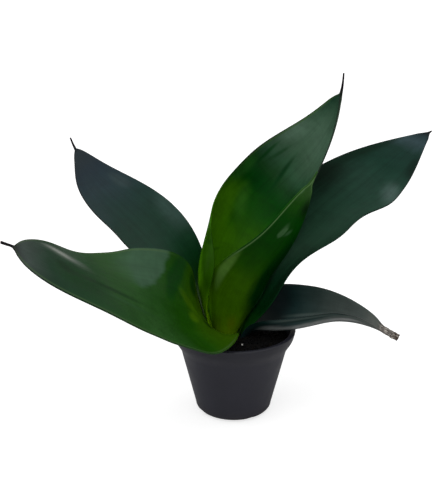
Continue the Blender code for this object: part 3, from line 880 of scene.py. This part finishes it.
wax = net.fade(mottle, 0.3, 0.7, 0.36, 0.46)
rough = net.math("MULTIPLY_ADD", net.math("MAXIMUM", spike, dry), 0.35, wax)
net.feed(made["Roughness"], rough)
relief = net.math("MULTIPLY_ADD", fine_veins, 0.5, net.times(vein_noise, 0.4))
net.feed(made["Height"], net.math("MULTIPLY_ADD", cells, 0.12, relief))
leaf_pattern = net.tree
print("leaf pattern group has", len(leaf_pattern.nodes), "nodes")

# %% [markdown]
# ## Patches on the skin
# Painted sheen and highlights lie on the skin as paler grey-green, young tissue stays yellow, and painted
# shade makes the parts in the shade of a neighbour nearly black. Such a spot is an oval on the leaf, so
# one group makes an oval mask from a place, a reach and a turn. A Mapping node of the texture kind does
# the moving, turning and scaling at once, and a little noise frays the oval's border. The core is the
# share of the oval that is full strength, and a patch can have a second core for its side towards the tip,
# so that one side is sharp and the other fades. A long thin oval also makes streaks, highlights and the
# painted shade in creases.

# %% Skin patch group
net, given, made = new_group("skin_patch", {
    "Across": 0.5, "Along": 0.5, "Reach Across": 0.2, "Reach Along": 0.1, "Turn": 0.0, "Core": 0.3,
    "Far Core": 0.3, "Strength": 1.0,
}, ("Mask",))
middle = net.node("CombineXYZ", {0: given["Across"], 1: given["Along"]}).outputs[0]
reach = net.node("CombineXYZ", {0: given["Reach Across"], 1: given["Reach Along"], 2: 1.0}).outputs[0]
turn = net.node("CombineXYZ", {2: net.math("RADIANS", given["Turn"])}).outputs[0]
uv = net.node("UVMap", uv_map="leaf").outputs[0]
local = net.node("Mapping", {"Vector": uv, "Location": middle, "Rotation": turn, "Scale": reach},
                 vector_type="TEXTURE").outputs[0]
distance = net.node("VectorMath", {0: local}, operation="LENGTH").outputs["Value"]
fray = net.math("SUBTRACT", net.cloud(net.stretch(uv, (14.0, 9.0, 1.0)), 1.0, 3.0), 0.5)
distance = net.math("MULTIPLY_ADD", fray, 0.3, distance)
far_side = net.fade(net.node("SeparateXYZ", {0: local}).outputs["Y"], -0.3, 0.3)
core = net.node("Mix", {0: far_side, 2: given["Core"], 3: given["Far Core"]}).outputs[0]
mask = net.fade(distance, core, 1.0, 1.0, 0.0)
net.feed(made["Mask"], net.times(mask, given["Strength"]))
skin_patch = net.tree

# %% [markdown]
# ## The tones of six leaves
# Each leaf has tones from its base to its tip, as linear colours judged against the photograph,
# and then its patches, which are named after what they show and lie on each other in that order. The
# young leaves are yellow-green below, the old outer ones are bluish and dark. Wax is the specular level:
# these leaves have a dull bloom, so it is low. The rim is how strong the lighter line inside the margin
# is, and its tone.

# %% Leaf tones
# rim: (strength, colour of a pale margin line that is partly painted highlight), tones: (place from base
# to tip, colour)
# patches: (across, along, reach across, reach along, turn, core, strength, colour), where across runs from
# the right margin to the left one, and two cores are the one near the base and the one near the tip
LOOKS = {}
LOOKS["leaf_tall_centre"] = {
    "wax": 0.04, "rim": (0.6, (0.05, 0.115, 0.026)),
    "pattern": {"Band Depth": 0.12, "Awn Place": 0.935},
    # The grey-green tones from 0.62 to 0.86 are painted sheen.
    "tones": [
        (0.0, (0.28, 0.58, 0.001)), (0.13, (0.07, 0.22, 0.001)), (0.24, (0.046, 0.17, 0.0)),
        (0.31, (0.034, 0.145, 0.0)), (0.38, (0.016, 0.098, 0.0)), (0.44, (0.006, 0.078, 0.002)),
        (0.51, (0.001, 0.052, 0.002)), (0.57, (0.009, 0.053, 0.012)), (0.62, (0.026, 0.082, 0.038)),
        (0.68, (0.045, 0.099, 0.056)), (0.75, (0.06, 0.12, 0.075)), (0.8, (0.056, 0.116, 0.071)),
        (0.86, (0.033, 0.082, 0.046)), (0.92, (0.009, 0.046, 0.022)),
    ],
    "patches": {
        "yellow belly": (0.84, 0.37, 0.26, 0.14, 0, 0.35, 0.85, (0.056, 0.19, 0.002)),
        "yellow middle": (0.62, 0.3, 0.25, 0.08, 0, 0.2, 0.6, (0.05, 0.175, 0.0)),
        "green margin": (0.93, 0.51, 0.14, 0.08, 0, 0.3, 0.8, (0.016, 0.098, 0.012)),
        "dark belt": (0.62, 0.525, 0.26, 0.05, 0, 0.2, 0.7, (0.0, 0.044, 0.003)),
        # painted sheen: a grey-green reflection on the upper blade
        "upper painted sheen": (0.92, 0.73, 0.22, 0.08, 0, 0.2, 0.75, (0.09, 0.165, 0.11)),
        "left streak": (0.87, 0.605, 0.1, 0.032, 59, 0.1, 0.8, (0.002, 0.046, 0.006)),
        "middle streak": (0.772, 0.635, 0.075, 0.034, 106, 0.1, 0.7, (0.006, 0.044, 0.01)),
        "right streak": (0.56, 0.6, 0.13, 0.032, 45, 0.1, 0.9, (0.0, 0.034, 0.005)),
        "green middle": (0.64, 0.43, 0.18, 0.06, 20, 0.0, 0.7, (0.036, 0.15, 0.012)),
        "shaded lobe": (1.0, 0.215, 0.15, 0.1, 0, 0.6, 0.9, (0.014, 0.062, 0.0)),
        # painted shade in a crease
        "long painted crease shade": (0.66, 0.255, 0.13, 0.009, -12, 0.1, 0.6, (0.01, 0.065, 0.0)),
        "shaded foot": (0.02, 0.06, 0.4, 0.13, 0, 0.5, 0.95, (0.01, 0.05, 0.0)),
        # painted shade in a crease
        "short painted crease shade": (0.97, 0.256, 0.07, 0.01, 0, 0.2, 0.4, (0.002, 0.032, 0.0)),
    },
}
LOOKS["leaf_young_front"] = {
    "wax": 0.04, "rim": (0.9, (0.095, 0.2, 0.065)),
    "pattern": {"Vein Depth": 0.2, "Rib Depth": 0.15, "Right Rim": 0.38, "Left Rim": 0.86,
                "Edge Depth": 0.0, "Awn Place": 2.0},
    "tones": [
        (0.0, (0.12, 0.24, 0.001)), (0.09, (0.07, 0.165, 0.001)), (0.13, (0.054, 0.145, 0.0)),
        (0.19, (0.038, 0.118, 0.0)), (0.27, (0.035, 0.11, 0.0)), (0.36, (0.029, 0.1, 0.0)),
        (0.44, (0.012, 0.07, 0.0)), (0.52, (0.005, 0.052, 0.0)), (0.6, (0.002, 0.045, 0.0)),
        (0.74, (0.001, 0.047, 0.0)), (0.83, (0.008, 0.066, 0.001)), (0.89, (0.024, 0.086, 0.013)),
        (0.95, (0.03, 0.09, 0.019)),
    ],
    "patches": {
        "shaded half": (1.0, 0.4, 0.44, 0.37, 0, 0.45, 1.0, (0.0, 0.023, 0.001)),
        "yellow foot": (0.2, 0.18, 0.22, 0.1, 0, 0.2, 0.7, (0.06, 0.18, 0.0)),
        "pale foot": (0.06, 0.16, 0.12, 0.12, 0, 0.3, 0.85, (0.15, 0.4, 0.0)),
        "low sheen": (0.115, 0.37, 0.18, 0.085, -48, 0.35, 0.95, (0.086, 0.198, 0.03)),
        "sheen": (0.46, 0.685, 0.12, 0.05, 12, (0.7, 0.0), 0.9, (0.046, 0.122, 0.042)),
        "thin sheen": (0.62, 0.675, 0.13, 0.022, 10, 0.1, 0.8, (0.034, 0.105, 0.034)),
        "tip glint": (0.15, 0.895, 0.09, 0.028, 0, 0.2, 0.9, (0.06, 0.14, 0.064)),
        # painted shade on the shoulder below the tip
        "shoulder shade": (0.9, 0.81, 0.42, 0.085, 0, 0.1, 0.95, (0.0, 0.014, 0.0)),
        "far margin": (1.0, 0.25, 0.06, 0.14, 0, 0.3, 0.7, (0.01, 0.06, 0.02)),
        "brown foot": (0.6, 0.1, 0.16, 0.07, 0, 0.0, 0.55, (0.085, 0.11, 0.0)),
    },
}
LOOKS["leaf_back_left"] = {
    "wax": 0.11, "rim": (0.0, (0.02, 0.05, 0.03)),
    "pattern": {"Vein Depth": 0.3, "Rib Depth": 0.15, "Edge Depth": 0.5},
    "tones": [
        (0.0, (0.09, 0.24, 0.0)), (0.14, (0.03, 0.12, 0.0)), (0.21, (0.0, 0.045, 0.0)),
        (0.3, (0.003, 0.04, 0.01)), (0.42, (0.01, 0.043, 0.024)), (0.55, (0.008, 0.035, 0.022)),
        (0.65, (0.009, 0.034, 0.028)), (0.75, (0.016, 0.036, 0.042)), (0.85, (0.012, 0.026, 0.037)),
        (0.93, (0.015, 0.027, 0.033)),
    ],
    "patches": {
        # the three patches below are painted sheen, a blue-grey reflection
        "right painted sheen": (0.02, 0.5, 0.25, 0.13, 0, 0.3, 0.7, (0.034, 0.073, 0.061)),
        "upper painted sheen": (0.16, 0.74, 0.14, 0.07, 0, 0.3, 0.7, (0.031, 0.054, 0.056)),
        "left painted sheen": (0.95, 0.68, 0.2, 0.1, 0, 0.3, 0.6, (0.015, 0.037, 0.036)),
    },
}
LOOKS["leaf_front_left"] = {
    "wax": 0.1, "rim": (0.45, (0.07, 0.125, 0.045)),
    "pattern": {"Right Rim": 0.3, "Left Rim": 0.08, "Edge Depth": 0.3, "Awn Place": 0.955},
    "tones": [
        (0.0, (0.13, 0.37, 0.0)), (0.06, (0.03, 0.1, 0.0)), (0.15, (0.03, 0.086, 0.0)),
        (0.22, (0.022, 0.08, 0.0)), (0.28, (0.009, 0.062, 0.0)), (0.34, (0.007, 0.055, 0.0)),
        (0.42, (0.013, 0.064, 0.007)), (0.52, (0.021, 0.077, 0.015)), (0.62, (0.014, 0.062, 0.01)),
        (0.74, (0.005, 0.042, 0.009)), (0.85, (0.008, 0.036, 0.015)), (0.93, (0.045, 0.063, 0.054)),
        (0.98, (0.03, 0.035, 0.035)),
    ],
    "patches": {
        # painted sheen on the hump, with a sharp edge towards the base
        "hump painted sheen": (0.1, 0.475, 0.31, 0.125, 8, (0.8, 0.0), 0.85, (0.047, 0.107, 0.06)),
        # painted shade in the hollow
        "hollow shade": (0.18, 0.315, 0.28, 0.045, 8, 0.5, 0.9, (0.0, 0.042, 0.0)),
        "shaded margin": (0.1, 0.19, 0.15, 0.055, 0, 0.4, 0.85, (0.0, 0.026, 0.001)),
        "pale foot": (0.12, 0.095, 0.14, 0.045, 0, 0.3, 0.9, (0.09, 0.23, 0.0)),
        "yellow stripe": (0.38, 0.23, 0.18, 0.04, -23, 0.3, 0.9, (0.037, 0.106, 0.0)),
        "yellow end": (0.51, 0.235, 0.08, 0.04, 0, 0.3, 0.8, (0.05, 0.13, 0.0)),
        # painted shade in a thin crease near the base
        "painted crease shade": (0.56, 0.15, 0.15, 0.018, -5, 0.3, 0.75, (0.0, 0.016, 0.0)),
        "dark middle": (0.65, 0.74, 0.3, 0.12, 0, 0.3, 0.75, (0.001, 0.031, 0.003)),
        # painted shade in the groove
        "groove shade": (0.6, 0.65, 0.05, 0.16, 0, 0.2, 0.7, (0.001, 0.026, 0.002)),
        # painted highlight on the ridge beside the groove
        "ridge highlight": (0.7, 0.59, 0.04, 0.15, 0, 0.0, 0.6, (0.022, 0.08, 0.024)),
        "dark belt": (0.53, 0.8, 0.15, 0.04, -10, 0.2, 0.8, (0.0, 0.021, 0.002)),
        # painted highlight along the fold near the tip, soft around it
        "soft painted highlight": (0.26, 0.785, 0.24, 0.075, -23, 0.1, 0.85, (0.11, 0.14, 0.11)),
        # painted highlight along the fold near the tip, bright in its middle
        "bright painted highlight": (0.23, 0.8, 0.17, 0.038, -23, 0.1, 0.9, (0.25, 0.27, 0.24)),
    },
}
LOOKS["leaf_back_right"] = {
    "wax": 0.05, "rim": (0.0, (0.02, 0.05, 0.03)),
    "pattern": {"Band Depth": 0.1, "Vein Depth": 0.3, "Rib Depth": 0.15, "Edge Depth": 0.5,
                "Awn Place": 0.975},
    "tones": [
        (0.0, (0.01, 0.09, 0.004)), (0.1, (0.0, 0.03, 0.004)), (0.22, (0.003, 0.026, 0.01)),
        (0.32, (0.012, 0.037, 0.02)), (0.45, (0.012, 0.044, 0.024)), (0.56, (0.011, 0.045, 0.026)),
        (0.66, (0.013, 0.047, 0.03)), (0.76, (0.005, 0.033, 0.02)), (0.86, (0.006, 0.03, 0.021)),
        (0.92, (0.03, 0.058, 0.064)), (0.98, (0.006, 0.018, 0.02)),
    ],
    "patches": {
        # painted sheen on the right half
        "painted sheen": (0.09, 0.65, 0.22, 0.065, 10, 0.0, 0.95, (0.062, 0.11, 0.094)),
        "shaded half": (1.0, 0.59, 0.48, 0.2, 0, 0.2, 1.0, (0.0, 0.009, 0.003)),
        # painted shadow of the tall leaf along the left margin
        "left margin shade": (1.0, 0.78, 0.3, 0.15, 0, 0.3, 0.8, (0.0, 0.012, 0.004)),
        "dark right margin": (0.0, 0.8, 0.2, 0.08, 0, 0.3, 0.8, (0.0, 0.01, 0.005)),
    },
}
LOOKS["leaf_low_right"] = {
    "wax": 0.2, "rim": (0.4, (0.06, 0.08, 0.07)),
    "pattern": {"Right Rim": 0.2, "Left Rim": 0.2, "Edge Depth": 0.3, "Awn Place": 2.0,
                "Dried Place": 0.85},
    "tones": [
        (0.0, (0.007, 0.025, 0.025)), (0.15, (0.001, 0.01, 0.008)), (0.26, (0.0, 0.006, 0.006)),
        (0.35, (0.006, 0.027, 0.026)), (0.43, (0.018, 0.04, 0.037)), (0.55, (0.038, 0.055, 0.049)),
        (0.66, (0.047, 0.062, 0.056)), (0.74, (0.058, 0.073, 0.067)), (0.82, (0.09, 0.1, 0.09)),
    ],
    "patches": {
        # painted highlight along the crest
        "ridge highlight": (0.5, 0.44, 0.05, 0.24, 0, 0.0, 0.8, (0.075, 0.105, 0.095)),
        "shaded foot": (0.75, 0.24, 0.3, 0.12, 0, 0.3, 0.8, (0.0, 0.008, 0.01)),
        # painted shade in the hollow under the fold
        "hollow shade": (0.33, 0.46, 0.17, 0.36, 0, 0.5, 0.95, (0.0, 0.012, 0.013)),
        # painted light on the rolled front edge
        "fold highlight": (0.125, 0.47, 0.06, 0.4, 0, 0.3, 0.85, (0.18, 0.194, 0.188)),
        # painted shadow along the rolled edge
        "margin shadow": (0.01, 0.44, 0.05, 0.33, 0, 0.6, 0.9, (0.0, 0.014, 0.012)),
        # painted light on the rolled front edge, near the base
        "fold foot highlight": (0.11, 0.22, 0.07, 0.13, 0, 0.1, 0.8, (0.19, 0.21, 0.205)),
        # painted light on the rolled front edge, towards the tip
        "fold end highlight": (0.11, 0.68, 0.06, 0.15, 0, 0.0, 0.9, (0.235, 0.242, 0.238)),
    },
}
SPIKE_TONE = (0.008, 0.005, 0.007)
HARD_EDGE_TONE = (0.012, 0.010, 0.010)
HUSK_TONE = (0.12, 0.11, 0.10)
ROT_TONE = (0.045, 0.030, 0.022)
# pale flakes on the dried husk, partly painted highlight
FLAKE_AND_HIGHLIGHT_TONE = (0.62, 0.58, 0.52)


def leaf_finish(node):
    look = LOOKS[node]
    finish, net, shader = new_finish(node + "_skin", Specular_IOR_Level=look["wax"])
    pattern = net.use(leaf_pattern, look["pattern"])
    ramp_node = net.node("ValToRGB", {0: pattern["Place"]})
    stops = ramp_node.color_ramp.elements
    while len(stops) < len(look["tones"]):
        stops.new(0.5)
    for stop, (place, tone) in zip(stops, look["tones"]):
        stop.position = place
        stop.color = (*tone, 1.0)
    skin = ramp_node.outputs["Color"]
    # The patches paint the leaves' own yellow and brown parts, and also painted sheen, highlights and
    # shade.
    for across, up, reach_across, reach_up, turn, core, strength, tone in look["patches"].values():
        near_core, far_core = core if isinstance(core, tuple) else (core, core)
        patch = {"Across": across, "Along": up, "Reach Across": reach_across, "Reach Along": reach_up,
                 "Turn": turn, "Core": near_core, "Far Core": far_core, "Strength": strength}
        skin = net.blend(net.use(skin_patch, patch)["Mask"], skin, tone)
    skin = net.blend(1.0, skin, pattern["Shade"], "MULTIPLY")
    # the rim is a pale margin line, partly painted highlight
    rim_strength, rim_tone = look["rim"]
    skin = net.blend(net.times(pattern["Rim"], rim_strength), skin, rim_tone)
    skin = net.blend(pattern["Hard Edge"], skin, HARD_EDGE_TONE)
    skin = net.blend(pattern["Spike"], skin, SPIKE_TONE)
    husk = net.blend(pattern["Rot"], HUSK_TONE, ROT_TONE)
    # pale flakes on the husk, partly painted highlight
    husk = net.blend(pattern["Flakes And Highlights"], husk, FLAKE_AND_HIGHLIGHT_TONE)
    skin = net.blend(pattern["Dry"], skin, husk)
    net.feed(shader["Base Color"], skin)
    net.feed(shader["Roughness"], pattern["Roughness"])
    put_bump(net, shader, pattern["Height"], 0.3, 0.25)
    return finish


for node, leaf in LEAVES.items():
    make_leaf(node, leaf, leaf_finish(node))
